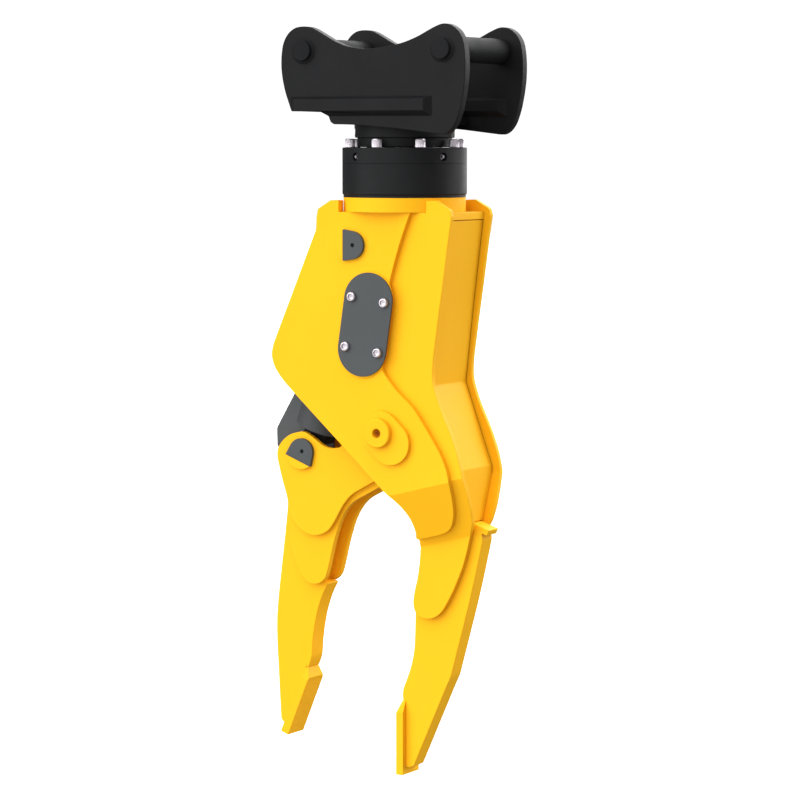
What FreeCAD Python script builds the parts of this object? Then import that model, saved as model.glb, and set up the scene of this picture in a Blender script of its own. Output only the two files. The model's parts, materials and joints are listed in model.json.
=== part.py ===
import FreeCAD, Part
import math
import os
import Sketcher

# Recycling grapple for an excavator, in millimetres.
# Frame: origin on the slewing axis at the height of the hitch pins, +Z up,
# +X from the moving jaw towards the fixed jaw, -Y towards the near side plate.
V = FreeCAD.Vector
doc = FreeCAD.newDocument("RecyclingGrapple")

# ---------------------------------------------------------------- dimensions
DIM = [
    ("bracket_inner_half", 153.0), ("bracket_plate_thick", 27.5), ("hitch_pin_radius", 35.0),
    ("hitch_pin_journal", 28.0), ("hitch_pin_offset", 215.5), ("hitch_pin_proud", 14.5),
    ("bar_proud", 14.5), ("base_plate_thick", 21.0),
    ("neck_flange_radius", 137.5), ("neck_ring_radius", 130.0), ("drum_radius", 171.3),
    ("slew_shaft_radius", 105.0), ("drum_bore", 110.0), ("screw_circle", 155.0),
    ("screw_head_radius", 13.5), ("screw_head_height", 24.0), ("screw_shank_radius", 8.0),
    ("mounting_ring_radius", 168.0), ("mounting_ring_top", -398.0), ("mounting_ring_base", -438.0),
    ("top_plate_thick", 21.0), ("frame_inner_half", 105.0), ("frame_plate_thick", 16.0),
    ("doubler_thick", 16.0), ("pivot_pad_thick", 13.0), ("pivot_x", 4.0), ("pivot_z", -1038.0),
    ("pivot_pin_radius", 40.0), ("pivot_bush_wall", 8.0), ("pivot_hub_wall", 14.0), ("pivot_clearance", 0.05),
    ("pivot_cap_radius", 40.0), ("pivot_cap_face", 37.5), ("pivot_cap_height", 16.0),
    ("pivot_spigot_radius", 30.0),
    ("web_thick", 12.0), ("fixed_blade_thick", 58.0), ("tip_pad_thick", 22.0),
    ("cover_pad_thick", 3.0), ("cover_thick", 6.0), ("cover_radius", 75.5), ("cover_centres", 135.0),
    ("cylinder_pin_radius", 30.0), ("pin_head_radius", 38.5), ("pin_head_thick", 11.0), ("pin_head_flat", 25.7),
    ("pin_head_half_chord", 43.3), ("pin_lock_radius", 48.0),
    ("jaw_plate_inner", 31.0), ("jaw_plate_thick", 19.0), ("jaw_doubler_thick", 17.0),
    ("jaw_pin_x", -290.0), ("jaw_pin_z", -1116.0), ("top_pin_x", -81.0), ("top_pin_z", -527.0),
    ("rod_radius", 30.0), ("barrel_radius", 62.0), ("barrel_bore", 50.0), ("running_gap", 0.05),
    ("guard_radius", 73.0), ("guard_wall", 7.0), ("rod_eye_radius", 52.0), ("rod_eye_half", 29.0),
    ("top_eye_radius", 57.0), ("top_eye_bore", 38.5), ("top_eye_half", 45.0),
]
sheet = doc.addObject("Spreadsheet::Sheet", "Params")
D = {}
for i, (name, value) in enumerate(DIM):
    sheet.set("A%d" % (i + 1), name)
    sheet.set("B%d" % (i + 1), repr(value))
    sheet.setAlias("B%d" % (i + 1), name)
    D[name] = value
doc.recompute()

NODES = {}          # node name -> object to export


def bind(obj, prop, expression):
    words = [w for w in D if w in expression]
    for w in sorted(words, key=len, reverse=True):
        expression = expression.replace("Params." + w, "\x00" + str(sorted(D).index(w)) + "\x01")
    for w in words:
        expression = expression.replace("\x00" + str(sorted(D).index(w)) + "\x01", "Params." + w)
    obj.setExpression(prop, expression)


def node(name, obj):
    obj.Label = name
    NODES[name] = obj
    return obj


# ---------------------------------------------------------------- sketch help
def rounded(points):
    """Closed outline with tangent arcs: (x, z) rounds as far as its runs allow,
    (x, z, r) has that radius, r = 0 is a sharp corner."""
    n = len(points)
    corners = []
    for i in range(n):
        p = points[i]
        a, b = points[i - 1], points[(i + 1) % n]
        ux, uz = a[0] - p[0], a[1] - p[1]
        wx, wz = b[0] - p[0], b[1] - p[1]
        lu, lw = math.hypot(ux, uz), math.hypot(wx, wz)
        ux, uz, wx, wz = ux / lu, uz / lu, wx / lw, wz / lw
        c = max(-1.0, min(1.0, ux * wx + uz * wz))
        turn = math.pi - math.acos(c)
        if turn < 0.004 or (len(p) > 2 and p[2] == 0):
            corners.append((V(p[0], p[1], 0), None, V(p[0], p[1], 0)))
            continue
        if len(p) > 2:
            t = min(p[2] * math.tan(turn / 2), 0.4995 * min(lu, lw))
        else:
            t = 0.46 * min(lu, lw)
        r = t / math.tan(turn / 2)
        bx, bz = ux + wx, uz + wz
        lb = math.hypot(bx, bz)
        k = (r / math.cos(turn / 2) - r) / lb
        corners.append((V(p[0] + ux * t, p[1] + uz * t, 0), V(p[0] + bx * k, p[1] + bz * k, 0),
                        V(p[0] + wx * t, p[1] + wz * t, 0)))
    geo = []
    for i in range(n):
        s, m, e = corners[i]
        if m is not None:
            geo.append(Part.Arc(s, m, e))
        nxt = corners[(i + 1) % n][0]
        if e.distanceToPoint(nxt) > 1e-6:
            geo.append(Part.LineSegment(e, nxt))
    return geo


def plane(body, role):
    for f in body.Origin.OriginFeatures:
        if f.Role == role:
            return f
    raise RuntimeError(role)


def sketch(body, role, offset, geometry, circles=()):
    """Sketch on one of the body's own origin planes, offset along its normal.
    offset is a number or an expression; circles are (x, y, radius, alias expression or None)."""
    sk = body.newObject("Sketcher::SketchObject", "Sketch")
    sk.AttachmentSupport = [(plane(body, role), "")]
    sk.MapMode = "FlatFace"
    if isinstance(offset, str):
        bind(sk, "AttachmentOffset.Base.z", offset)
    elif offset:
        sk.AttachmentOffset = FreeCAD.Placement(V(0, 0, offset), FreeCAD.Rotation())
    if geometry:
        sk.addGeometry(geometry, False)
    for x, y, r, alias in circles:
        g = sk.addGeometry(Part.Circle(V(x, y, 0), V(0, 0, 1), r), False)
        k = sk.addConstraint(Sketcher.Constraint("Radius", g, r))
        sk.addConstraint(Sketcher.Constraint("DistanceX", -1, 1, g, 3, x) if x else Sketcher.Constraint("PointOnObject", g, 3, -2))
        sk.addConstraint(Sketcher.Constraint("DistanceY", -1, 1, g, 3, y) if y else Sketcher.Constraint("PointOnObject", g, 3, -1))
        if alias:
            bind(sk, "Constraints[%d]" % k, alias)
    return sk


def prism(name, points, y_high, thick, circles=(), geometry=None):
    """Plate cut from an XZ outline: its +Y face lies at y_high, thick is measured towards -Y.
    Both are numbers or expressions in the sheet's names."""
    body = doc.addObject("PartDesign::Body", name)
    neg = "-(%s)" % y_high if isinstance(y_high, str) else -y_high
    sk = sketch(body, "XZ_Plane", neg, geometry if geometry is not None else rounded(points), circles)
    pad = body.newObject("PartDesign::Pad", "Pad")
    pad.Profile = sk
    if isinstance(thick, str):
        bind(pad, "Length", thick)
    else:
        pad.Length = thick
    return body


def revolved(name, profile):
    """Solid of revolution about Z from (radius, z) points."""
    body = doc.addObject("PartDesign::Body", name)
    pts = [V(r, z, 0) for r, z in profile]
    geo = [Part.LineSegment(pts[i], pts[(i + 1) % len(pts)]) for i in range(len(pts))]
    sk = sketch(body, "XZ_Plane", 0, geo)
    rev = body.newObject("PartDesign::Revolution", "Revolution")
    rev.Profile = sk
    rev.ReferenceAxis = (sk, ["V_Axis"])
    rev.Angle = 360.0
    return body


def cylinder(name, radius, height, start, axis=V(0, 0, 1)):
    """radius and height are numbers or sheet expressions; start is the centre of the first face."""
    c = doc.addObject("Part::Cylinder", name)
    for prop, val in (("Radius", radius), ("Height", height)):
        if isinstance(val, str):
            bind(c, prop, val)
        else:
            setattr(c, prop, val)
    c.Placement = FreeCAD.Placement(start, FreeCAD.Rotation(V(0, 0, 1), axis))
    return c


def cone(name, r1, r2, height, start, axis):
    c = doc.addObject("Part::Cone", name)
    for prop, val in (("Radius1", r1), ("Radius2", r2), ("Height", height)):
        if isinstance(val, str):
            bind(c, prop, val)
        else:
            setattr(c, prop, val)
    c.Placement = FreeCAD.Placement(start, FreeCAD.Rotation(V(0, 0, 1), axis))
    return c


def box(name, low, high):
    b = doc.addObject("Part::Box", name)
    b.Length, b.Width, b.Height = high[0] - low[0], high[1] - low[1], high[2] - low[2]
    b.Placement = FreeCAD.Placement(V(*low), FreeCAD.Rotation())
    return b


def fuse(name, *objs):
    f = doc.addObject("Part::MultiFuse", name)
    f.Shapes = list(objs)
    return f


def cut(name, base, tool):
    c = doc.addObject("Part::Cut", name)
    c.Base = base
    c.Tool = tool
    return c


def common(name, a, b):
    c = doc.addObject("Part::Common", name)
    c.Base = a
    c.Tool = b
    return c


Yp, Yn = V(0, 1, 0), V(0, -1, 0)
BI, BT = D["bracket_inner_half"], D["bracket_plate_thick"]

# ================================================================ hitch bracket
BRACKET = [(-150, 43), (-186, 62), (-212, 67), (-243, 64), (-266, 48), (-281, 22), (-286.5, -12), (-287, -45),
           (-282.5, -80), (-273, -116), (-262, -144), (-255, -164, 10), (-158, -164, 10), (-137, -177, 8),
           (-130, -194, 8), (-120, -199.5, 5), (-61, -200.5), (85, -212), (187, -224), (223, -228), (241, -217),
           (256, -197), (269.5, -160), (279, -115), (284, -80), (285.5, -40), (283, -2), (277, 27), (263, 49),
           (242, 64), (216, 68), (188, 58), (134, 31), (85, 15), (24, 6), (-24, 2), (-84, 11), (-122, 27)]
HX = D["hitch_pin_offset"]
journal_holes = [(-HX, 0, D["hitch_pin_journal"] + 0.1, "Params.hitch_pin_journal + 0.1"),
                 (HX, 0, D["hitch_pin_journal"] + 0.1, "Params.hitch_pin_journal + 0.1")]
node("bracket_plate_near", prism("BracketNear", BRACKET, "-Params.bracket_inner_half", "Params.bracket_plate_thick", journal_holes))
node("bracket_plate_far", prism("BracketFar", BRACKET, "Params.bracket_inner_half + Params.bracket_plate_thick",
                                "Params.bracket_plate_thick", journal_holes))
pins = []
for k, x in (("Front", -HX), ("Rear", HX)):
    out = BI + BT + D["hitch_pin_proud"]
    pins.append(fuse("HitchPin" + k,
                     cylinder("HitchShaft" + k, "Params.hitch_pin_radius", "2 * Params.bracket_inner_half", V(x, -BI, 0), Yp),
                     cylinder("HitchJournal" + k, "Params.hitch_pin_journal",
                              "2 * (Params.bracket_inner_half + Params.bracket_plate_thick + Params.hitch_pin_proud) - 4", V(x, -out + 2, 0), Yp),
                     cone("HitchCollarNear" + k, 30.5, 37.0, 4.0, V(x, -BI - BT - 4, 0), Yp),
                     cone("HitchCollarFar" + k, 30.5, 37.0, 4.0, V(x, BI + BT + 4, 0), Yn),
                     cone("HitchEndNear" + k, "Params.hitch_pin_journal - 2", "Params.hitch_pin_journal", 2, V(x, -out, 0), Yp),
                     cone("HitchEndFar" + k, "Params.hitch_pin_journal - 2", "Params.hitch_pin_journal", 2, V(x, out, 0), Yn)))
node("hitch_pins", fuse("HitchPins", *pins))


def bar(name, y_base, y_face, x_base, x_face):
    w = doc.addObject("Part::Wedge", name)
    left_base, left_face = -255, -239
    if y_face < y_base:
        w.Ymin, w.Ymax = y_face, y_base
        w.Xmin, w.Xmax, w.Zmin, w.Zmax = left_face, x_face, -163, -132
        w.X2min, w.X2max, w.Z2min, w.Z2max = left_base, x_base, -178, -124
    else:
        w.Ymin, w.Ymax = y_base, y_face
        w.Xmin, w.Xmax, w.Zmin, w.Zmax = left_base, x_base, -178, -124
        w.X2min, w.X2max, w.Z2min, w.Z2max = left_face, x_face, -163, -132
    return w


BO = BI + BT
BP = D["bar_proud"]
bar_tool = prism("BarTrim", BRACKET, 220, 440)
bars = [bar("BarNearOuter", -BO, -BO - BP, 184, 165), bar("BarNearInner", -BI, -BI + BP, 238, 214),
        bar("BarFarInner", BI, BI - BP, 238, 214), bar("BarFarOuter", BO, BO + BP, 184, 165)]
node("bracket_bars", common("BracketBars", fuse("BarsRaw", *bars), bar_tool))

base = doc.addObject("Part::Box", "BasePlate")
base.Length = 236
bind(base, "Width", "2 * Params.bracket_inner_half")
bind(base, "Height", "Params.base_plate_thick")
base.Placement = FreeCAD.Placement(V(-118, -BI, -199), FreeCAD.Rotation())
node("bracket_base_plate", base)

# neck under the bracket: upper flange with two recesses for the hose adapters
NF = D["neck_flange_radius"]
neck = revolved("NeckFlange", [(0, -199), (NF - 1.5, -199), (NF, -200.5), (NF, -234), (NF - 2, -236), (0, -236)])
recess = []
for k, ang in (("Near", 207.0), ("Far", 153.0)):
    b = box("Recess" + k, (0, -24, -237), (40, 24, -198))
    a = math.radians(ang)
    b.Placement = FreeCAD.Placement(V(114 * math.cos(a) + 24 * math.sin(a), 114 * math.sin(a) - 24 * math.cos(a), -237),
                                    FreeCAD.Rotation(V(0, 0, 1), ang))
    recess.append(b)
node("neck_flange", cut("NeckFlangeCut", neck, fuse("Recesses", *recess)))
NR = D["neck_ring_radius"]
node("neck_ring", revolved("NeckRing", [(0, -236), (NR, -236), (NR, -259.5), (NR - 2, -261.5), (0, -261.5)]))

# hose adapters: a hex nut and a dark elbow body in each recess
ad = []
for k, ang in (("Near", 207.0), ("Far", 153.0)):
    a = math.radians(ang)
    cx, cy = 127.5 * math.cos(a), 127.5 * math.sin(a)
    hexa = doc.addObject("Part::Prism", "AdapterHex" + k)
    hexa.Polygon = 6
    hexa.Circumradius = 11.0
    hexa.Height = 12.0
    hexa.Placement = FreeCAD.Placement(V(cx, cy, -211), FreeCAD.Rotation(V(0, 0, 1), ang))
    stem = cylinder("AdapterStem" + k, 7.5, 14.0, V(cx, cy, -225))
    nut = doc.addObject("Part::Prism", "AdapterNut" + k)
    nut.Polygon = 6
    nut.Circumradius = 10.0
    nut.Height = 9.0
    nut.Placement = FreeCAD.Placement(V(cx, cy, -234), FreeCAD.Rotation(V(0, 0, 1), ang + 12))
    ad.append(fuse("Adapter" + k, hexa, stem, nut))
node("hose_adapters", fuse("HoseAdapters", *ad))

# supply manifold on the base plate, with four threaded unions facing -X
node("port_manifold", box("ManifoldBlock", (-112, -76, -178), (-62, 76, -138)))
unions = []
for i, y in enumerate((-54, -18, 18, 54)):
    hexu = doc.addObject("Part::Prism", "UnionHex%d" % i)
    hexu.Polygon = 6
    hexu.Circumradius = 17.0
    hexu.Height = 16.0
    hexu.Placement = FreeCAD.Placement(V(-112, y, -158), FreeCAD.Rotation(V(0, 0, 1), V(-1, 0, 0)))
    body = fuse("UnionRaw%d" % i, hexu, cylinder("UnionBarrel%d" % i, 14.0, 30.0, V(-112, y, -158), V(-1, 0, 0)))
    unions.append(cut("Union%d" % i, body, cylinder("UnionBore%d" % i, 9.3, 32.0, V(-111, y, -158), V(-1, 0, 0))))
node("port_unions", fuse("PortUnions", *unions))

# slewing unit, part held by the bracket
SR = D["slew_shaft_radius"]
node("slew_rotor", revolved("SlewRotor", [(28.0, -261.5), (SR, -261.5), (SR, -312), (134, -312), (134, -336), (60, -336),
                                          (60, -379), (28.0, -379)]))
node("swivel_core", cylinder("SwivelCore", 27.9, 215.0, V(0, 0, -476.5)))

# ================================================================ slewing unit, part on the grapple
DR = D["drum_radius"]
DB = D["drum_bore"]
flange = revolved("TopFlange", [(DB, -262.5), (DR - 1.5, -262.5), (DR, -264), (DR, -305.2), (DR - 0.8, -306), (DB, -306)])
sc = D["screw_circle"]
holes = [cylinder("FlangeHole%d" % i, "Params.screw_shank_radius + 0.3", 60.0,
                  V(sc * math.cos(math.radians(45 * i)), sc * math.sin(math.radians(45 * i)), -315)) for i in range(8)]
wells = []
for i, ang in enumerate((-22.5, -112.5, 67.5, 157.5)):
    a = math.radians(ang)
    wells.append(cylinder("NippleWell%d" % i, 11.5, 20.0, V((DR - 14) * math.cos(a), (DR - 14) * math.sin(a), -287.5),
                          V(math.cos(a), math.sin(a), 0)))
node("rotator_top_flange", cut("TopFlangeCut", flange, fuse("FlangeTools", *(holes + wells))))
nip = []
for i, ang in enumerate((-22.5, -112.5, 67.5, 157.5)):
    a = math.radians(ang)
    d = V(math.cos(a), math.sin(a), 0)
    s = DR - 14
    hexn = doc.addObject("Part::Prism", "NippleHex%d" % i)
    hexn.Polygon = 6
    hexn.Circumradius = 7.0
    hexn.Height = 6.0
    hexn.Placement = FreeCAD.Placement(d * s + V(0, 0, -287.5), FreeCAD.Rotation(V(0, 0, 1), d))
    nip.append(fuse("Nipple%d" % i, hexn, cone("NippleCone%d" % i, 4.5, 3.0, 4.0, d * (s + 6) + V(0, 0, -287.5), d),
                    cylinder("NippleTip%d" % i, 3.4, 2.5, d * (s + 10) + V(0, 0, -287.5), d)))
node("drum_nipples", fuse("DrumNipples", *nip))
housing = revolved("Housing", [(138, -306), (DR - 0.8, -306), (DR, -306.8), (DR, -388.5), (DR - 3, -391.5), (DR - 3, -398),
                               (34, -398), (34, -386), (120, -386), (120, -366.5), (138, -366.5)])
hh = [cylinder("HousingHole%d" % i, "Params.screw_shank_radius + 0.05", 47.0,
               V(sc * math.cos(math.radians(45 * i)), sc * math.sin(math.radians(45 * i)), -352)) for i in range(8)]
node("rotator_housing", cut("HousingCut", housing, fuse("HousingHoles", *hh)))
scr = []
for i in range(8):
    c = V(sc * math.cos(math.radians(45 * i)), sc * math.sin(math.radians(45 * i)), 0)
    SH = D["screw_head_height"]
    head = cylinder("ScrewHead%d" % i, "Params.screw_head_radius", "Params.screw_head_height - 1.5", c + V(0, 0, -262.5))
    rim = cone("ScrewRim%d" % i, "Params.screw_head_radius", "Params.screw_head_radius - 1.5", 1.5, c + V(0, 0, -262.5 + SH - 1.5), V(0, 0, 1))
    shank = cylinder("ScrewShank%d" % i, "Params.screw_shank_radius", 84.0, c + V(0, 0, -346.5))
    sock = doc.addObject("Part::Prism", "ScrewSocket%d" % i)
    sock.Polygon = 6
    sock.Circumradius = 7.4
    sock.Height = 12.0
    sock.Placement = FreeCAD.Placement(c + V(0, 0, -262.5 + SH - 10), FreeCAD.Rotation(V(0, 0, 1), 15 * i))
    scr.append(cut("CapScrew%d" % i, fuse("CapScrewRaw%d" % i, head, rim, shank), sock))
node("flange_cap_screws", fuse("FlangeCapScrews", *scr))
node("shaft_seal", revolved("ShaftSeal", [(SR + 0.4, -270), (DB - 0.1, -270), (DB - 0.1, -282), (SR + 0.4, -282)]))
node("bearing_ring", revolved("BearingRing", [(110, -351.6), (137.7, -351.6), (137.7, -366.4), (110, -366.4)]))
balls = []
for i in range(32):
    a = 2 * math.pi * (i + 0.5) / 32
    s = doc.addObject("Part::Sphere", "Ball%d" % i)
    s.Radius = 7.5
    s.Placement = FreeCAD.Placement(V(123 * math.cos(a), 123 * math.sin(a), -343.8), FreeCAD.Rotation())
    balls.append(s)
node("bearing_balls", fuse("BearingBalls", *balls))

# ================================================================ grapple frame
MR = D["mounting_ring_radius"]
MB = D["mounting_ring_base"]
MT = D["mounting_ring_top"]
node("mounting_ring", revolved("MountingRing", [(70, MT), (MR, MT), (MR, MB), (70, MB)]))
tp = doc.addObject("Part::Box", "TopPlate")
tp.Length = 387
bind(tp, "Width", "2 * Params.frame_inner_half")
bind(tp, "Height", "Params.top_plate_thick")
tp.Placement = FreeCAD.Placement(V(-195, -D["frame_inner_half"], MB - D["top_plate_thick"]), FreeCAD.Rotation())
node("frame_top_plate", cut("TopPlateCut", tp, cylinder("TopPlateHole", 70.0, 60.0, V(0, 0, -480))))

FH, FT, DT = D["frame_inner_half"], D["frame_plate_thick"], D["doubler_thick"]
# outline of the side plates
EDGE_LOW = [(9, -1199, 3), (-121, -1079), (-272, -942), (-311, -906), (-338, -871), (-348.5, -838), (-343.5, -809),
            (-203, -486, 12), (-201, -450, 10)]
SIDE = [(-196.5, -430, 6), (-156, -406, 8), (-133.6, -406, 0), (-133.6, -438, 0), (133.6, -438, 0), (133.6, -406, 0), (163, -405, 10),
        (207, -430, 13), (211.5, -448, 10), (200.5, -519), (186, -625), (173, -710), (154, -845), (152.5, -898), (174, -962),
        (207.5, -1030), (232, -1095), (244, -1147), (249, -1199), (250.5, -1245), (246, -1282, 4), (231, -1319), (224, -1351),
        (209, -1405), (175, -1482), (146, -1530), (126, -1549), (98, -1557), (64, -1549), (52, -1522), (55, -1491),
        (67, -1445), (74, -1396), (76, -1361), (77, -1321), (70, -1274), (51, -1241), (26, -1214)] + EDGE_LOW
DOUBLER = [(-196.5, -430, 6), (-156, -406, 8), (-131, -406, 0), (-131, -438, 0), (93, -438, 0), (68, -500), (48, -560), (30, -621),
           (8, -720), (-4, -800), (5, -866), (20, -887), (52, -924), (101, -964), (135, -1011), (187, -1089), (207, -1135),
           (213, -1166), (212, -1212), (208, -1248), (202, -1270), (192, -1292), (176, -1308), (150, -1318), (78, -1335, 4),
           (82, -1310), (75, -1274), (56, -1241), (28, -1213)] + EDGE_LOW
# the plates fold inwards along two parallel lines that rise 14 degrees towards +X
FOLD = (240.0, -1154.0)
FOLD_DEG = 14.0
FOLD_RUN = 158.0
FOLD_IN = 73.0
fa = math.atan2(FOLD_IN, FOLD_RUN)
tf = math.tan(fa / 2)


def folded_sheet(name, y_out, thick, side):
    """Sheet following the folds: y_out is its outer face's distance from the middle plane."""
    body = doc.addObject("PartDesign::Body", name)
    o = y_out - (FH + FT)                       # offset of the outer face from the base plate's outer face
    p = [(-(y_out), 900), (-(y_out), -o * tf), (-(y_out - FOLD_IN), -(FOLD_RUN + o * tf)), (-(y_out - FOLD_IN), -700)]
    i = o - thick
    q = [(-(y_out - thick), 900), (-(y_out - thick), -i * tf), (-(y_out - thick - FOLD_IN), -(FOLD_RUN + i * tf)),
         (-(y_out - thick - FOLD_IN), -700)]
    pts = [V(side * a, b, 0) for a, b in p + q[::-1]]
    geo = [Part.LineSegment(pts[k], pts[(k + 1) % len(pts)]) for k in range(len(pts))]
    sk = sketch(body, "YZ_Plane", -900, geo)
    pad = body.newObject("PartDesign::Pad", "Pad")
    pad.Profile = sk
    pad.Length = 1500
    body.Placement = FreeCAD.Placement(V(FOLD[0], 0, FOLD[1]), FreeCAD.Rotation(V(0, 1, 0), -FOLD_DEG))
    return body


PX, PZ, TX, TZ = D["pivot_x"], D["pivot_z"], D["top_pin_x"], D["top_pin_z"]
pin_holes = [(PX, PZ, D["pivot_pin_radius"] + 0.1, "Params.pivot_pin_radius + 0.1"),
             (TX, TZ, D["cylinder_pin_radius"] + 0.1, "Params.cylinder_pin_radius + 0.1")]
for tag, side in (("near", 1), ("far", -1)):
    full = prism("SideBlank_" + tag, SIDE, 0 if side > 0 else 200, 200, pin_holes)
    node("frame_side_plate_" + tag, common("FrameSide_" + tag, folded_sheet("SideSheet_" + tag, FH + FT, FT, side), full))
    full = prism("DoublerBlank_" + tag, DOUBLER, 0 if side > 0 else 200, 200, pin_holes)
    node("frame_doubler_" + tag, common("FrameDoubler_" + tag, folded_sheet("DoublerSheet_" + tag, FH + FT + DT, DT, side), full))

# space between the side plates, for trimming the webs
core = doc.addObject("PartDesign::Body", "InnerSpace")
g = 0.0
half = [(FH, 900), (FH, FT * tf), (FH - FOLD_IN, -(FOLD_RUN - FT * tf)), (FH - FOLD_IN, -700)]
pts = [V(a, b, 0) for a, b in half] + [V(-a, b, 0) for a, b in half[::-1]]
sk = sketch(core, "YZ_Plane", -900, [Part.LineSegment(pts[k], pts[(k + 1) % len(pts)]) for k in range(len(pts))])
pad = core.newObject("PartDesign::Pad", "Pad")
pad.Profile = sk
pad.Length = 1500
core.Placement = FreeCAD.Placement(V(FOLD[0], 0, FOLD[1]), FreeCAD.Rotation(V(0, 1, 0), -FOLD_DEG))


def offset_strip(line, thick):
    """Outline of a folded strip: line is its outer face, thick goes to the right of its direction of travel."""
    inner = []
    n = len(line)
    for i, (x, z) in enumerate(line):
        dirs = []
        if i > 0:
            dirs.append((line[i][0] - line[i - 1][0], line[i][1] - line[i - 1][1]))
        if i < n - 1:
            dirs.append((line[i + 1][0] - line[i][0], line[i + 1][1] - line[i][1]))
        ns = []
        for dx, dz in dirs:
            q = math.hypot(dx, dz)
            ns.append((dz / q, -dx / q))
        nx, nz = sum(a for a, b in ns) / len(ns), sum(b for a, b in ns) / len(ns)
        k = thick / (nx * nx + nz * nz)
        inner.append((x + nx * k, z + nz * k, 0))
    return [(a, b, 0) for a, b in line] + inner[::-1]


WT = D["web_thick"]
rear = offset_strip([(190, -459), (159, -712), (137, -908), (219, -1137), (222, -1284.5)], WT)
rear[0] = (190, -460.5, 0)
rear[-1] = (178, -460.5, 0)
node("rear_web", common("RearWeb", prism("RearWebBlank", rear, 110, 220), core))
front = [(-169.5, -459, 0), (-156.5, -459, 0), (-274.6, -732.5, 0), (-286, -728, 0)]
node("front_web", common("FrontWeb", prism("FrontWebBlank", front, 110, 220), core))
mouth = [(60, -1250, 0), (72, -1245, 0), (93, -1298, 0), (80, -1301, 0)]
node("mouth_web", common("MouthWeb", prism("MouthWebBlank", mouth, 110, 220), core))

# fixed jaw blade with its rear lip, and the gripping pad at its tip
BLADE = [(230, -1285, 2), (279, -1302, 2), (272, -1317, 2), (256, -1311, 2), (260, -1329), (224.5, -1485), (161, -1716),
         (150, -1738), (45, -1973, 3), (33, -1979, 2), (20, -1979, 0), (20, -1800, 0), (11, -1792, 2), (9, -1775), (11, -1759),
         (23, -1731), (38, -1690), (47, -1644), (49, -1591), (50, -1540), (53, -1491), (65, -1445), (73, -1396), (75, -1361),
         (78, -1325), (80, -1304, 3), (120, -1300, 4), (180, -1286, 4)]
node("fixed_jaw_blade", prism("FixedBlade", BLADE, "Params.fixed_blade_thick / 2", "Params.fixed_blade_thick"))


def tip_pad(name, half_wide, half_top, z_low, z_shoulder, z_top, thick):
    body = doc.addObject("PartDesign::Body", name)
    pts = [V(-half_wide, z_low, 0), V(half_wide, z_low, 0), V(half_wide, z_shoulder, 0), V(half_top, z_top, 0),
           V(-half_top, z_top, 0), V(-half_wide, z_shoulder, 0)]
    sk = sketch(body, "YZ_Plane", 0, [Part.LineSegment(pts[k], pts[(k + 1) % 6]) for k in range(6)])
    pad = body.newObject("PartDesign::Pad", "Pad")
    pad.Profile = sk
    if isinstance(thick, str):
        bind(pad, "Length", thick)
    else:
        pad.Length = thick
    return body


fp = tip_pad("FixedTipPad", 46.0, 29.0, -1999.0, -1824.0, -1790.0, "Params.tip_pad_thick")
fp.Placement = FreeCAD.Placement(V(-2, 0, 0), FreeCAD.Rotation())
fc = prism("FixedPadTrim", [(-40, -1770, 0), (12, -1770, 0), (12, -1788, 0), (-2.2, -1826, 0), (-40, -1826, 0)], 80, 160)
fb = prism("FixedPadBladeTrim", BLADE, D["fixed_blade_thick"] / 2, D["fixed_blade_thick"])
node("fixed_tip_pad", cut("FixedTipPadCut", fp, fuse("FixedPadTools", fc, fb)))

# main pivot: pads on the doublers, pin, caps, bolts
PP = FH + FT + DT
pads = []
for tag, y in (("Near", -PP), ("Far", PP + D["pivot_pad_thick"])):
    dx, dz = 29.0, -27.0
    L = math.hypot(dx, dz)
    ux, uz = dx / L, dz / L
    r = 60.0
    c0, c1 = (PX + 3, PZ), (PX + 3 + dx, PZ + dz)
    A = V(c0[0] - uz * r, c0[1] + ux * r, 0)
    B = V(c1[0] - uz * r, c1[1] + ux * r, 0)
    C = V(c1[0] + uz * r, c1[1] - ux * r, 0)
    E = V(c0[0] + uz * r, c0[1] - ux * r, 0)
    geo = [Part.LineSegment(A, B), Part.Arc(B, V(c1[0] + ux * r, c1[1] + uz * r, 0), C), Part.LineSegment(C, E),
           Part.Arc(E, V(c0[0] - ux * r, c0[1] - uz * r, 0), A)]
    pads.append(prism("PivotPad" + tag, None, y, "Params.pivot_pad_thick",
                      [(PX, PZ, D["pivot_spigot_radius"] + 0.1, "Params.pivot_spigot_radius + 0.1")], geo))
node("pivot_pads", fuse("PivotPads", *pads))
YE = PP + D["pivot_pad_thick"]
pp = fuse("PivotBar", cylinder("PivotShaft", "Params.pivot_pin_radius", 2 * PP, V(PX, -PP, PZ), Yp),
          cylinder("PivotSpigot", "Params.pivot_spigot_radius", 2 * YE, V(PX, -YE, PZ), Yp))
bh = fuse("PivotTaps", cylinder("PivotTapNear", 6.05, 40.0, V(PX, -YE - 1, PZ), Yp), cylinder("PivotTapFar", 6.05, 40.0, V(PX, YE + 1, PZ), Yn))
node("pivot_pin", cut("PivotPin", pp, bh))
caps, bolts = [], []
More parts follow.
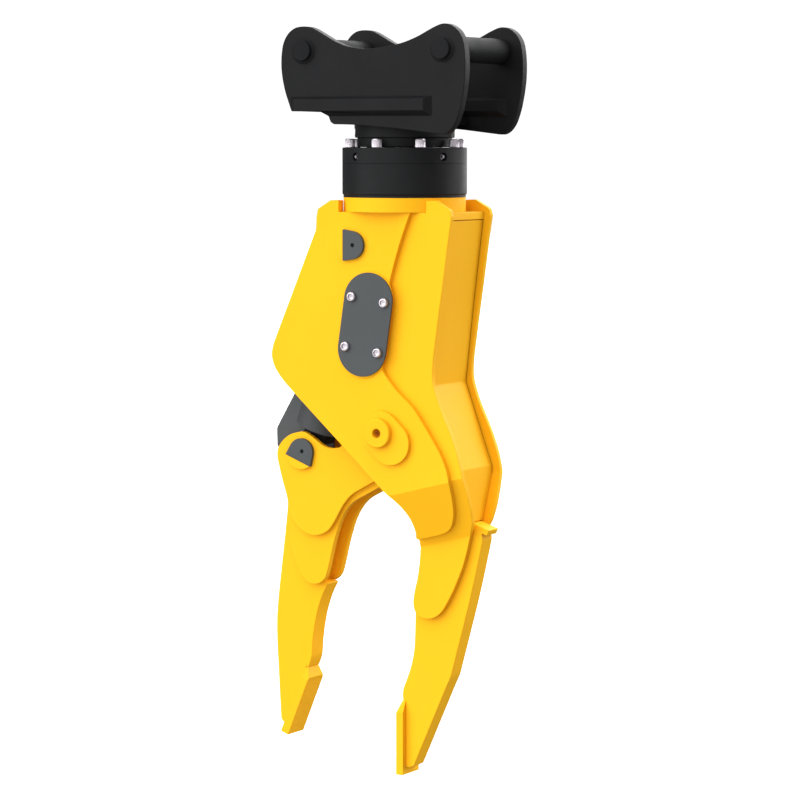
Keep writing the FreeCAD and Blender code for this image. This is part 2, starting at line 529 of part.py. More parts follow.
for tag, s in (("Near", -1), ("Far", 1)):
    ax = V(0, s, 0)
    y0 = s * YE
    H = D["pivot_cap_height"]
    body = fuse("CapRaw" + tag, cylinder("CapBase" + tag, "Params.pivot_cap_radius", 13.2, V(PX, y0, PZ), ax),
                cone("CapFace" + tag, "Params.pivot_cap_radius", "Params.pivot_cap_face", "Params.pivot_cap_height - 13.2", V(PX, y0 + s * 13.2, PZ), ax))
    hole = fuse("CapHole" + tag, cylinder("CapClear" + tag, 6.3, 30.0, V(PX, y0 - s * 1, PZ), ax),
                cylinder("CapWell" + tag, 12.4, 17.0, V(PX, y0 + s * 1.6, PZ), ax),
                cone("CapSink" + tag, 12.4, 13.4, 1.0, V(PX, y0 + s * (H - 1.0), PZ), ax))
    caps.append(cut("Cap" + tag, body, hole))
    sock = doc.addObject("Part::Prism", "CapSocket" + tag)
    sock.Polygon = 6
    sock.Circumradius = 4.8
    sock.Height = 6.0
    sock.Placement = FreeCAD.Placement(V(PX, y0 + s * 3, PZ), FreeCAD.Rotation(V(0, 0, 1), ax))
    bolts.append(cut("CapBolt" + tag, fuse("CapBoltRaw" + tag, cylinder("CapBoltHead" + tag, 9.6, 4.4, V(PX, y0 + s * 1.7, PZ), ax),
                                           cylinder("CapBoltShank" + tag, 6.0, 42.0, V(PX, y0 - s * 35, PZ), ax)), sock))
node("pivot_caps", fuse("PivotCaps", *caps))
node("pivot_cap_bolts", fuse("PivotCapBolts", *bolts))


# ---------------------------------------------------------------- D-headed cylinder pins
def d_head(name, cx, cz, y_base, n, r, flat, half, thick, lock_r=0.0):
    """Head rounded about (cx, cz) with tangent flanks down to a chord at distance flat along direction n.
    With lock_r the outline is that of the keeper past the chord."""
    nx, nz = n
    tx, tz = -nz, nx

    def to(u, w):
        return V(cx - nx * u + tx * w, cz - nz * u + tz * w, 0)

    if lock_r:
        f = flat + 0.25
        h = math.sqrt(lock_r * lock_r - f * f)
        return prism(name, None, y_base, thick, geometry=[Part.LineSegment(to(-f, h), to(-f, -h)),
                                                          Part.Arc(to(-f, -h), to(-lock_r, 0), to(-f, h))])
    q = math.hypot(flat, half)
    phi = math.atan2(half, -flat) - math.acos(r / q)
    u, w = r * math.cos(phi), r * math.sin(phi)
    return prism(name, None, y_base, thick, geometry=[
        Part.LineSegment(to(-flat, -half), to(-flat, half)), Part.LineSegment(to(-flat, half), to(u, w)),
        Part.Arc(to(u, w), to(r, 0), to(u, -w)), Part.LineSegment(to(u, -w), to(-flat, -half))])


HR, HF, HT = D["pin_head_radius"], D["pin_head_flat"], D["pin_head_thick"]
HC, HL = D["pin_head_half_chord"], D["pin_lock_radius"]


def headed_pin(name, cx, cz, y_face, n, hx, hz, gx, gz):
    """(hx, hz) is the centre of the eccentric head, (gx, gz) that of its blind bore."""
    shaft = cylinder(name + "Shaft", "Params.cylinder_pin_radius", 2 * y_face + 9, V(cx, -y_face, cz), Yp)
    end = cone(name + "End", "Params.cylinder_pin_radius", "Params.cylinder_pin_radius - 3", 3.0, V(cx, y_face + 9, cz), Yp)
    head = d_head(name + "Head", hx, hz, -y_face, n, HR, HF, HC, HT)
    bore = cylinder(name + "Bore", 5.6, 12.0, V(gx, -y_face - HT - 1, gz), Yp)
    return cut(name, fuse(name + "Raw", shaft, end, head), bore)


nt = (-1.0, 0.0)
nj = (-0.372, -math.sqrt(1 - 0.372 ** 2))
TH = (TX - 5, TZ - 1)
node("top_pin", headed_pin("TopPin", TX, TZ, PP, nt, TH[0], TH[1], TX, TZ - 1))
node("top_pin_lock", d_head("TopPinLock", TH[0], TH[1], -PP, nt, HR, HF, HC, HT, HL))
bos = []
for tag, s in (("Near", -1), ("Far", 1)):
    bos.append(cut("TopBoss" + tag, cylinder("TopBossOut" + tag, 42.0, FH - 48, V(TX, s * 48, TZ), V(0, s, 0)),
                   cylinder("TopBossIn" + tag, "Params.cylinder_pin_radius + 0.1", 80.0, V(TX, s * 40, TZ), V(0, s, 0))))
node("top_pin_bosses", fuse("TopPinBosses", *bos))

# ---------------------------------------------------------------- oval access covers
CX, CZ, CT = -43.0, -744.0, math.radians(8.4)
dx, dz = math.sin(CT), math.cos(CT)
ex, ez = math.cos(CT), -math.sin(CT)


def oval(r, half):
    A = V(CX + dx * half - ex * r, CZ + dz * half - ez * r, 0)
    B = V(CX + dx * half + ex * r, CZ + dz * half + ez * r, 0)
    C = V(CX - dx * half + ex * r, CZ - dz * half + ez * r, 0)
    E = V(CX - dx * half - ex * r, CZ - dz * half - ez * r, 0)
    return [Part.Arc(A, V(CX + dx * (half + r), CZ + dz * (half + r), 0), B), Part.LineSegment(B, C),
            Part.Arc(C, V(CX - dx * (half + r), CZ - dz * (half + r), 0), E), Part.LineSegment(E, A)]


spots = [(CX + dx * u + ex * w, CZ + dz * u + ez * w) for u in (69, -69) for w in (-51, 51)]
CR, CH = D["cover_radius"], D["cover_centres"] / 2
CP, CV = D["cover_pad_thick"], D["cover_thick"]
cpads, covers, cscrews = [], [], []
for tag, s in (("Near", -1), ("Far", 1)):
    y = -PP if s < 0 else PP + CP
    cpads.append(prism("CoverPad" + tag, None, y, "Params.cover_pad_thick", [(a, b, 6.1, None) for a, b in spots], oval(CR - 4, CH + 10)))
    y = -(PP + CP) if s < 0 else PP + CP + CV
    covers.append(prism("Cover" + tag, None, y, "Params.cover_thick", [(a, b, 6.3, None) for a, b in spots], oval(CR, CH)))
    for i, (a, b) in enumerate(spots):
        y0 = s * (PP + CP + CV)
        ax = V(0, s, 0)
        raw = fuse("CoverScrewRaw%s%d" % (tag, i), cylinder("CoverScrewHead%s%d" % (tag, i), 14.3, 7.0, V(a, y0, b), ax),
                   cone("CoverScrewRim%s%d" % (tag, i), 14.3, 12.3, 2.5, V(a, y0 + s * 7, b), ax),
                   cylinder("CoverScrewShank%s%d" % (tag, i), 6.0, 8.5, V(a, y0 - s * 8.5, b), ax))
        sock = doc.addObject("Part::Prism", "CoverSocket%s%d" % (tag, i))
        sock.Polygon = 6
        sock.Circumradius = 8.4
        sock.Height = 8.0
        sock.Placement = FreeCAD.Placement(V(a, y0 + s * 3.5, b), FreeCAD.Rotation(V(0, 0, 1), ax))
        cscrews.append(cut("CoverScrew%s%d" % (tag, i), raw, sock))
node("cover_pads", fuse("CoverPads", *cpads))
node("access_covers", fuse("AccessCovers", *covers))
node("cover_screws", fuse("CoverScrews", *cscrews))

# ================================================================ moving jaw
JI, JT, JD = D["jaw_plate_inner"], D["jaw_plate_thick"], D["jaw_doubler_thick"]
JX, JZ = D["jaw_pin_x"], D["jaw_pin_z"]
JBASE = [(-376, -1103), (-382, -1127), (-366, -1189), (-347, -1250), (-345, -1330), (-341, -1375), (-331, -1408), (-316, -1446),
         (-293, -1475), (-270, -1484), (-244, -1480), (-226, -1463), (-216, -1430), (-198, -1355), (-175, -1291), (-142, -1246),
         (-51, -1199), (6, -1160), (55, -1112), (84, -1060), (82, -1008), (50, -965), (4, -953), (-48, -968), (-100, -1020),
         (-145, -1098), (-180, -1114), (-215, -1114), (-243, -1098), (-262, -1074), (-290, -1058), (-326, -1067), (-353, -1082)]
JDOUB = [(-372, -1103), (-374, -1127), (-358, -1189), (-341, -1240), (-337, -1266), (-331, -1290), (-315, -1313), (-289, -1335),
         (-260, -1344), (-233, -1341), (-206, -1327), (-187, -1300), (-158, -1250), (-132, -1221), (-56, -1180), (0, -1148),
         (46, -1105), (74, -1058), (73, -1012), (44, -974), (4, -964), (-44, -976), (-90, -1026), (-155, -1082), (-171, -1093),
         (-197, -1097), (-223, -1091), (-256, -1068), (-286, -1051), (-330, -1062), (-353, -1078)]
HUB = D["pivot_pin_radius"] + D["pivot_bush_wall"] + D["pivot_hub_wall"]
jholes = [(PX, PZ, HUB + 0.1, "Params.pivot_pin_radius + Params.pivot_bush_wall + Params.pivot_hub_wall + 0.1"),
          (JX, JZ, D["cylinder_pin_radius"] + 0.1, "Params.cylinder_pin_radius + 0.1")]
node("jaw_plate_near", prism("JawPlateNear", JBASE, "-Params.jaw_plate_inner", "Params.jaw_plate_thick", jholes))
node("jaw_plate_far", prism("JawPlateFar", JBASE, "Params.jaw_plate_inner + Params.jaw_plate_thick", "Params.jaw_plate_thick", jholes))
node("jaw_doubler_near", prism("JawDoublerNear", JDOUB, "-(Params.jaw_plate_inner + Params.jaw_plate_thick)", "Params.jaw_doubler_thick", jholes))
node("jaw_doubler_far", prism("JawDoublerFar", JDOUB, "Params.jaw_plate_inner + Params.jaw_plate_thick + Params.jaw_doubler_thick",
                              "Params.jaw_doubler_thick", jholes))
HH = FH - 2.0
node("jaw_hub", cut("JawHub", cylinder("HubOut", "Params.pivot_pin_radius + Params.pivot_bush_wall + Params.pivot_hub_wall", 2 * HH, V(PX, -HH, PZ), Yp),
                    cylinder("HubIn", "Params.pivot_pin_radius + Params.pivot_bush_wall + 0.02", 2 * HH + 2, V(PX, -HH - 1, PZ), Yp)))
bush = []
for tag, y in (("Near", -HH), ("Far", HH - 60)):
    bush.append(cut("Bush" + tag, cylinder("BushOut" + tag, "Params.pivot_pin_radius + Params.pivot_bush_wall", 60.0, V(PX, y, PZ), Yp),
                    cylinder("BushIn" + tag, "Params.pivot_pin_radius + Params.pivot_clearance", 62.0, V(PX, y - 1, PZ), Yp)))
node("pivot_bushes", fuse("PivotBushes", *bush))

# blade ends in a slanted gripping pad; face line from P2 to P3
P2, P3 = (-290.0, -1761.0), (-355.0, -1920.0)
pl = math.hypot(P3[0] - P2[0], P3[1] - P2[1])
fx, fz = (P3[0] - P2[0]) / pl, (P3[1] - P2[1]) / pl           # down the face
bx, bz = -(-fz), -(fx)                                        # away from the mouth
if bx > 0:
    bx, bz = -bx, -bz
JPT = 25.0


def on_back(u):
    return (P2[0] + fx * u + bx * JPT, P2[1] + fz * u + bz * JPT)


b0, b1 = on_back(-34.0), on_back(pl - 22.0)
JBLADE = [(-230, -1481, 2), (-255, -1474, 3), (-238, -1400), (-224, -1345, 4), (-322, -1341, 6), (-338, -1256, 0), (-361, -1250, 0),
          (-361.5, -1275), (-369.5, -1345), (-382.5, -1447), (-391.5, -1516), (-398.5, -1590), (-397.5, -1654), (-393.5, -1722),
          (-388, -1825), (-385, -1876, 3), (-380, -1884, 2), (b1[0], b1[1], 0), (b0[0], b0[1], 0), (-295, -1725, 3),
          (-283, -1696), (-279, -1636), (-267, -1569), (-249, -1517)]
node("jaw_blade", prism("JawBlade", JBLADE, "Params.jaw_plate_inner", "2 * Params.jaw_plate_inner"))
jp = tip_pad("JawTipPad", 43.0, 28.0, -pl, 0.0, 32.0, JPT)
# local +X goes from the gripping face to the back, local -Z runs down the face
rot = FreeCAD.Rotation(V(bx, 0, bz), V(0, 1, 0), V(-fx, 0, -fz), "ZXY")
m = FreeCAD.Matrix(bx, 0, -fx, P2[0], 0, -1, 0, 0, bz, 0, -fz, P2[1], 0, 0, 0, 1)
jp.Placement = FreeCAD.Placement(m)


def pad_point(u, d):
    return (P2[0] + fx * u + bx * d, P2[1] + fz * u + bz * d, 0)


lead = prism("JawPadLead", [pad_point(-8.5, 0), pad_point(-40.6, 24.8), pad_point(-60, 24.8), pad_point(-60, -10), pad_point(-8.5, -10)], 80, 160)
node("jaw_tip_pad", cut("JawTipPadCut", jp, fuse("JawPadTools", lead, prism("JawPadBladeTrim", JBLADE, D["jaw_plate_inner"], 2 * D["jaw_plate_inner"]))))

mouth_web = [(-225, -1343.6, 0), (-203, -1277), (-161, -1220), (-62, -1168, 0), (-70, -1154, 0), (-172, -1208), (-217, -1270), (-239, -1343.6, 0)]
back_web = [(-358, -1192, 0), (-345, -1249.5, 0), (-331, -1249.5, 0), (-344, -1188, 0)]
node("jaw_webs", fuse("JawWebs", prism("JawMouthWeb", mouth_web, "Params.jaw_plate_inner", "2 * Params.jaw_plate_inner"),
                      prism("JawBackWeb", back_web, "Params.jaw_plate_inner", "2 * Params.jaw_plate_inner")))
JO = JI + JT + JD
JH = (JX, JZ + 5.7)
node("jaw_pin", headed_pin("JawPin", JX, JZ, JO, nj, JH[0], JH[1], JX + 4.3, JZ + 8))
node("jaw_pin_lock", d_head("JawPinLock", JH[0], JH[1], -JO, nj, HR, HF, HC, HT, HL))

# ================================================================ cylinder, along the line from the jaw pin to the top pin
sx, sz = TX - JX, TZ - JZ
SL = math.hypot(sx, sz)
U = V(sx / SL, 0, sz / SL)                 # along the cylinder, upwards
W = V(sz / SL, 0, -sx / SL)                # across it, towards the pivot
J0 = V(JX, 0, JZ)


def at(s, p=0.0, y=0.0):
    return J0 + U * s + W * p + V(0, y, 0)


def pt(s, p, *r):
    q = at(s, p)
    return (q.x, q.z) + r


RR, GR = D["rod_radius"], D["guard_radius"]
stem = box("RodEyeStem", (-36, -D["rod_eye_half"], 0), (36, D["rod_eye_half"], 34))
stem.Placement = FreeCAD.Placement(at(39), FreeCAD.Rotation(V(0, 0, 1), U)).multiply(
    FreeCAD.Placement(V(-36, -D["rod_eye_half"], 0), FreeCAD.Rotation()))
eye = fuse("RodEyeRaw", cylinder("RodEyeRing", "Params.rod_eye_radius", "2 * Params.rod_eye_half", at(0, 0, -D["rod_eye_half"]), Yp),
           stem, cylinder("RodEyeCollar", 38.0, 11.0, at(73), U))
eyecut = fuse("RodEyeTools", cylinder("RodEyeBore", "Params.cylinder_pin_radius + Params.running_gap", 80.0, at(0, 0, -40), Yp),
              cylinder("RodEyeSeat", "Params.rod_radius + 0.02", 60.0, at(74), U))
node("rod_eye", cut("RodEye", eye, eyecut))
node("piston_rod", cylinder("PistonRod", "Params.rod_radius", 292.0, at(74), U))
node("piston", cut("Piston", cylinder("PistonOut", "Params.barrel_bore - Params.running_gap", 68.0, at(366), U),
                   cylinder("PistonTail", 18.0, 20.0, at(420), U)))
guard = cut("GuardTube", cylinder("GuardOut", "Params.guard_radius", 263.0, at(72), U),
            cylinder("GuardIn", "Params.guard_radius - Params.guard_wall", 290.0, at(60), U))
gring = cut("GuardRing", cylinder("GuardRingOut", "Params.guard_radius - Params.guard_wall", 12.0, at(84), U),
            cylinder("GuardRingIn", "Params.rod_radius + 0.1", 30.0, at(78), U))
node("rod_guard", fuse("RodGuard", guard, gring))
FIN = [pt(252, -62, 0), pt(232, -85, 3), pt(144, -101, 20), pt(26, -124, 22), pt(-23, -105, 10), pt(-34, -60, 10), pt(-30, -30, 0), pt(71, -30, 0),
       pt(71, -60, 0)]
fin = prism("GuardFin", FIN, 28, 56)
finstem = box("FinStemClear", (0, 0, 0), (72.1, 63, 50))
finstem.Placement = FreeCAD.Placement(at(30), FreeCAD.Rotation(V(0, 0, 1), U)).multiply(
    FreeCAD.Placement(V(-36.05, -31.5, 0), FreeCAD.Rotation()))
fintool = fuse("GuardFinTools", cylinder("FinEyeClear", "Params.rod_eye_radius + 0.05", 80.0, at(0, 0, -40), Yp),
               finstem, cylinder("FinCollarClear", 38.05, 20.0, at(70), U),
               cylinder("FinTubeClear", "Params.guard_radius + 0.05", 400.0, at(71.9), U),
               cylinder("FinSlit", "Params.guard_radius + 3.2", 300.0, at(176), U))
node("guard_fin", cut("GuardFinCut", fin, fintool))

BR, BB = D["barrel_radius"], D["barrel_bore"]
node("barrel_tube", cut("BarrelTube", cylinder("BarrelOut", "Params.barrel_radius", 326.0, at(222), U),
                        cylinder("BarrelIn", "Params.barrel_bore", 340.0, at(215), U)))
lug = box("BarrelLug", (-46, -D["top_eye_half"], 0), (46, D["top_eye_half"], 62))
lug.Placement = FreeCAD.Placement(at(562, 0, 0), FreeCAD.Rotation(V(0, 0, 1), U)).multiply(
    FreeCAD.Placement(V(-46, -D["top_eye_half"], 0), FreeCAD.Rotation()))
EC = at(620.02, -4.78)
eyeb = fuse("TopEyeRaw", cylinder("BarrelCap", "Params.barrel_radius", 20.0, at(548), U), lug,
            cylinder("TopEyeRing", "Params.top_eye_radius", "2 * Params.top_eye_half", V(EC.x, -D["top_eye_half"], EC.z), Yp))
port1 = cylinder("BarrelPort1", 16.0, 40.0, at(566, 30, 0), W)
eyebt = cut("TopEyeBored", fuse("TopEyePorts", eyeb, port1),
            fuse("TopEyeTools", cylinder("TopEyeBore", "Params.top_eye_bore", 120.0, V(EC.x, -60, EC.z), Yp),
                 cylinder("BarrelPortBore", 9.3, 30.0, at(566, 45, 0), W)))
node("barrel_eye", eyebt)
gl = cut("GlandRaw", fuse("GlandBody", cylinder("GlandFlange", "Params.barrel_radius", 8.0, at(214), U),
                          cylinder("GlandPlug", "Params.barrel_bore - 0.05", 50.0, at(214), U)),
         fuse("GlandTools", cylinder("GlandBore", "Params.rod_radius + Params.running_gap", 80.0, at(200), U),
              cylinder("GlandWell", 38.0, 8.0, at(213.9), U)))
node("gland", gl)
node("wiper_seal", cut("WiperSeal", cylinder("WiperOut", 37.9, 6.5, at(215), U),
                       cylinder("WiperIn", "Params.rod_radius + Params.running_gap", 20.0, at(210), U)))

# ================================================================ check and write
doc.recompute()
bad = [o.Name for o in doc.Objects if "Invalid" in o.State or "Error" in o.State]
for name, obj in NODES.items():
    s = obj.Shape
    if s.isNull() or not s.isValid() or not s.Solids:
        bad.append("shape " + name)
if bad:
    raise RuntimeError("failed objects: " + ", ".join(bad))
if len(NODES) > 60:
    raise RuntimeError("too many nodes: %d" % len(NODES))
os.makedirs("parts", exist_ok=True)
for old in os.listdir("parts"):
    if old.endswith(".step") and old[:-5] not in NODES:
        os.remove(os.path.join("parts", old))
for name, obj in NODES.items():
    obj.Shape.exportStep("parts/%s.step" % name)
    b = obj.Shape.BoundBox
    print("%-24s solids %2d vol %10.0f  x %.1f %.1f  y %.1f %.1f  z %.1f %.1f" % (
        name, len(obj.Shape.Solids), obj.Shape.Volume, b.XMin, b.XMax, b.YMin, b.YMax, b.ZMin, b.ZMax))
print(len(NODES), "nodes")
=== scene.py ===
import json
import math

import bmesh
import bpy
from mathutils import Matrix, Vector

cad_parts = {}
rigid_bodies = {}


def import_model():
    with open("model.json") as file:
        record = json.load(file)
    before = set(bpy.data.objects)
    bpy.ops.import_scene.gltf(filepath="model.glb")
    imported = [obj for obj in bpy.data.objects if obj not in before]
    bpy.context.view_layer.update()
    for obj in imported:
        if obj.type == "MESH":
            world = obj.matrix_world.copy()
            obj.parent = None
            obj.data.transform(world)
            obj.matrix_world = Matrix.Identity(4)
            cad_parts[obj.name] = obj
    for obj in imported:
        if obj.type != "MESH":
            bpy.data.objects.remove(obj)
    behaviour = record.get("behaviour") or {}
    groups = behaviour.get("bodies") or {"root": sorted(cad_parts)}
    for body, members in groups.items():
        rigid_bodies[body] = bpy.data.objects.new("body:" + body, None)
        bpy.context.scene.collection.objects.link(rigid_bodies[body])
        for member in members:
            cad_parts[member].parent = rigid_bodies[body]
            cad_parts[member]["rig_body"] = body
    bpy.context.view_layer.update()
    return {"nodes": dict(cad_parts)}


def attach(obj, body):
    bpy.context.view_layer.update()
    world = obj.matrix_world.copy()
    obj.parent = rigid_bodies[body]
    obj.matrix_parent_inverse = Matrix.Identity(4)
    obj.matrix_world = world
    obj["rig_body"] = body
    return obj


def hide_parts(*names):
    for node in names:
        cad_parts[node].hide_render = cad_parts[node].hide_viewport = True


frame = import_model()
N = frame["nodes"]
scene = bpy.context.scene
MM = 0.001

# ---------------------------------------------------------------- camera
AZ, TILT, FOCAL, DIST, CU, CV = 0.5131268, 0.0802851, 3212.0, 8.80145, 404.715, 51.4
right = Vector((math.cos(AZ), math.sin(AZ), 0))
fwd = Vector((-math.sin(AZ) * math.cos(TILT), math.cos(AZ) * math.cos(TILT), -math.sin(TILT)))
up = right.cross(fwd)
cam_data = bpy.data.cameras.new("camera")
cam = bpy.data.objects.new("camera", cam_data)
scene.collection.objects.link(cam)
scene.camera = cam
cam_data.sensor_width = 36.0
cam_data.lens = FOCAL * 36.0 / 800.0
cam_data.clip_start, cam_data.clip_end = 0.1, 200.0
place = -(fwd * DIST + right * ((CU - 400) / FOCAL * DIST) - up * ((CV - 400) / FOCAL * DIST))
m = Matrix.Identity(4)
for i in range(3):
    m[i][0], m[i][1], m[i][2], m[i][3] = right[i], up[i], -fwd[i], place[i]
cam.matrix_world = m

# ---------------------------------------------------------------- light
scene.view_settings.view_transform = "Standard"
scene.view_settings.look = "None"
world = bpy.data.worlds.new("studio")
scene.world = world
world.use_nodes = True
wn, wl = world.node_tree.nodes, world.node_tree.links
wn.clear()
w_out = wn.new("ShaderNodeOutputWorld")
w_bg = wn.new("ShaderNodeBackground")
w_white = wn.new("ShaderNodeBackground")
w_mix = wn.new("ShaderNodeMixShader")
w_path = wn.new("ShaderNodeLightPath")
w_bg.inputs["Strength"].default_value = 0.22
w_bg.inputs["Color"].default_value = (1.0, 1.0, 1.0, 1)
w_white.inputs["Color"].default_value = (1, 1, 1, 1)
w_white.inputs["Strength"].default_value = 1.05
wl.new(w_path.outputs["Is Camera Ray"], w_mix.inputs[0])
wl.new(w_bg.outputs[0], w_mix.inputs[1])
wl.new(w_white.outputs[0], w_mix.inputs[2])
wl.new(w_mix.outputs[0], w_out.inputs["Surface"])


def softbox(azimuth, elevation, strength):
    """A soft distant light, 45 degrees wide, seen from the object at this azimuth and elevation."""
    az, el = math.radians(azimuth), math.radians(elevation)
    data = bpy.data.lights.new("softbox", "SUN")
    data.energy = strength
    data.angle = math.radians(45)
    ob = bpy.data.objects.new("softbox_%d_%d" % (azimuth, elevation), data)
    scene.collection.objects.link(ob)
    towards = Vector((math.cos(el) * math.cos(az), math.cos(el) * math.sin(az), math.sin(el)))
    ob.rotation_mode = "QUATERNION"
    ob.rotation_quaternion = towards.to_track_quat("Z", "Y")


# the tent: panels behind and to the right, others in front and low
for azimuth, elevation, strength in (
        (0, 90, 0.89),
        (225, -20, 0.55), (225, 20, 1.64), (225, 55, 0.42),
        (270, -20, 0.57), (270, 20, 0.94), (270, 55, 0.88),
        (315, -20, 0.30), (315, 20, 0.23), (315, 55, 0.24),
        (45, 20, 2.22), (45, 55, 0.40), (90, 20, 2.20), (90, 55, 1.50)):
    softbox(azimuth, elevation, strength)

# ---------------------------------------------------------------- materials
MATS = {}


def material(name):
    mat = bpy.data.materials.new(name)
    mat.use_nodes = True
    t = mat.node_tree
    t.nodes.clear()
    out = t.nodes.new("ShaderNodeOutputMaterial")
    bsdf = t.nodes.new("ShaderNodeBsdfPrincipled")
    t.links.new(bsdf.outputs[0], out.inputs[0])
    MATS[name] = mat
    return mat, t, bsdf


def coords(t, scale=(1, 1, 1)):
    c = t.nodes.new("ShaderNodeTexCoord")
    mp = t.nodes.new("ShaderNodeMapping")
    mp.inputs["Scale"].default_value = scale
    t.links.new(c.outputs["Object"], mp.inputs["Vector"])
    return mp.outputs["Vector"]


def noise(t, vec, scale, detail=2.0, rough=0.5, distortion=0.0):
    n = t.nodes.new("ShaderNodeTexNoise")
    n.inputs["Scale"].default_value = scale
    n.inputs["Detail"].default_value = detail
    n.inputs["Roughness"].default_value = rough
    n.inputs["Distortion"].default_value = distortion
    t.links.new(vec, n.inputs["Vector"])
    return n.outputs["Fac"]


def span(t, value, low, high, f0=0.3, f1=0.7):
    r = t.nodes.new("ShaderNodeMapRange")
    r.inputs["From Min"].default_value = f0
    r.inputs["From Max"].default_value = f1
    r.inputs["To Min"].default_value = low
    r.inputs["To Max"].default_value = high
    t.links.new(value, r.inputs["Value"])
    return r.outputs["Result"]


def two_tone(t, value, dark, light, f0=0.35, f1=0.65):
    r = t.nodes.new("ShaderNodeValToRGB")
    r.color_ramp.elements[0].position = f0
    r.color_ramp.elements[1].position = f1
    r.color_ramp.elements[0].color = (*dark, 1)
    r.color_ramp.elements[1].color = (*light, 1)
    t.links.new(value, r.inputs["Fac"])
    return r.outputs["Color"]


def bump(t, bsdf, *layers):
    """layers are (height output, distance in metres, strength)."""
    normal = None
    for height, distance, strength in layers:
        b = t.nodes.new("ShaderNodeBump")
        b.inputs["Strength"].default_value = strength
        b.inputs["Distance"].default_value = distance
        t.links.new(height, b.inputs["Height"])
        if normal is not None:
            t.links.new(normal, b.inputs["Normal"])
        normal = b.outputs["Normal"]
    t.links.new(normal, bsdf.inputs["Normal"])


def paint(name, dark, light, rough, spec, coat, peel, tone_scale=2.6, fine=330.0, coat_rough=0.25):
    mat, t, b = material(name)
    v = coords(t)
    t.links.new(two_tone(t, noise(t, v, tone_scale, 4.0, 0.55), dark, light), b.inputs["Base Color"])
    t.links.new(span(t, noise(t, v, 14.0, 3.0), rough - 0.04, rough + 0.05), b.inputs["Roughness"])
    b.inputs["Specular IOR Level"].default_value = spec
    b.inputs["Coat Weight"].default_value = coat
    b.inputs["Coat Roughness"].default_value = coat_rough
    bump(t, b, (noise(t, v, fine, 2.0), 0.0004, peel), (noise(t, v, fine / 9, 2.0), 0.0012, peel * 0.5))
    return mat


def metal(name, dark, light, rough, stretch=(1, 1, 1), grain=700.0, depth=0.15, metallic=1.0):
    mat, t, b = material(name)
    v = coords(t, stretch)
    w = coords(t)
    t.links.new(two_tone(t, noise(t, w, 22.0, 4.0, 0.6), dark, light), b.inputs["Base Color"])
    t.links.new(span(t, noise(t, v, grain, 3.0), rough - 0.06, rough + 0.08), b.inputs["Roughness"])
    b.inputs["Metallic"].default_value = metallic
    bump(t, b, (noise(t, v, grain, 2.0), 0.0002, depth))
    return mat


yellow = paint("yellow_paint", (0.895, 0.450, 0.0095), (0.925, 0.470, 0.0115), 0.52, 0.07, 0.0, 0.05)
charcoal = paint("bracket_paint", (0.0060, 0.0061, 0.0068), (0.0078, 0.0079, 0.0087), 0.50, 0.11, 0.0, 0.10, 6.0, 260.0)
drum = paint("drum_paint", (0.0078, 0.0082, 0.0088), (0.0096, 0.0100, 0.0107), 0.50, 0.12, 0.0, 0.05, 8.0, 420.0)
grey = paint("grey_paint", (0.057, 0.063, 0.0655), (0.063, 0.069, 0.072), 0.48, 0.22, 0.0, 0.06, 5.0, 300.0)
zinc = metal("zinc_steel", (0.50, 0.46, 0.50), (0.60, 0.56, 0.60), 0.32, grain=900.0, depth=0.06)
steel = metal("bare_steel", (0.42, 0.42, 0.43), (0.52, 0.52, 0.52), 0.36, (1, 1, 12), 120.0)
chrome = metal("rod_chrome", (0.78, 0.79, 0.80), (0.84, 0.85, 0.86), 0.10, (1, 1, 1), 300.0, 0.02)
bronze = metal("bush_bronze", (0.50, 0.28, 0.11), (0.60, 0.35, 0.15), 0.38, (1, 1, 1), 240.0)
rubber = paint("seal_rubber", (0.011, 0.011, 0.012), (0.017, 0.017, 0.018), 0.72, 0.30, 0.0, 0.16, 20.0, 500.0)

# painted shade: the cap bolts are painted dark orange to stand for the shade down in their deep wells
painted_well_shade = paint("bolt_painted_well_shade", (0.30, 0.085, 0.0020), (0.38, 0.120, 0.0030), 0.55, 0.07, 0.0, 0.05)
# painted shadow: the rod eye is painted near black to stand for the deep shadow it sits in between the jaw plates
painted_shadow_eye = paint("eye_painted_shadow", (0.0075, 0.0065, 0.0062), (0.0100, 0.0085, 0.0080), 0.55, 0.12, 0.0, 0.05)
pin_coat = paint("pin_paint", (0.0095, 0.0097, 0.0105), (0.0115, 0.0117, 0.0125), 0.58, 0.06, 0.0, 0.08, 6.0, 260.0)
# painted shade: a darker copy of the grey paint, standing for the shade on the guard's tube
guard_shaded_grey = paint("guard_paint_painted_shade", (0.047, 0.051, 0.053), (0.052, 0.056, 0.058), 0.48, 0.20, 0.0, 0.06, 5.0, 300.0)
# copy of the yellow paint for the rear web; it carries painted shade along the edges where the web meets the side
# plates
web_with_painted_shade = paint("web_paint_painted_shade", (0.895, 0.450, 0.0095), (0.925, 0.470, 0.0115), 0.52, 0.07, 0.0, 0.05)


def painted_corner_shade(mat, limit, colour):
    """Paints shade into the corner: darkens the strip beyond this distance from the middle plane, where the sheet is
    welded to its plates.
    """
    t = mat.node_tree
    b = next(n for n in t.nodes if n.type == "BSDF_PRINCIPLED")
    body_colour = b.inputs["Base Color"].links[0].from_socket
    c = t.nodes.new("ShaderNodeTexCoord")
    axes = t.nodes.new("ShaderNodeSeparateXYZ")
    size = t.nodes.new("ShaderNodeMath")
    size.operation = "ABSOLUTE"
    mix = t.nodes.new("ShaderNodeMixRGB")
    mix.inputs["Color2"].default_value = (*colour, 1)
    t.links.new(c.outputs["Object"], axes.inputs[0])
    t.links.new(axes.outputs["Y"], size.inputs[0])
    t.links.new(span(t, size.outputs[0], 0.0, 1.0, limit, limit + 0.0008), mix.inputs["Fac"])
    t.links.new(body_colour, mix.inputs["Color1"])
    t.links.new(mix.outputs["Color"], b.inputs["Base Color"])


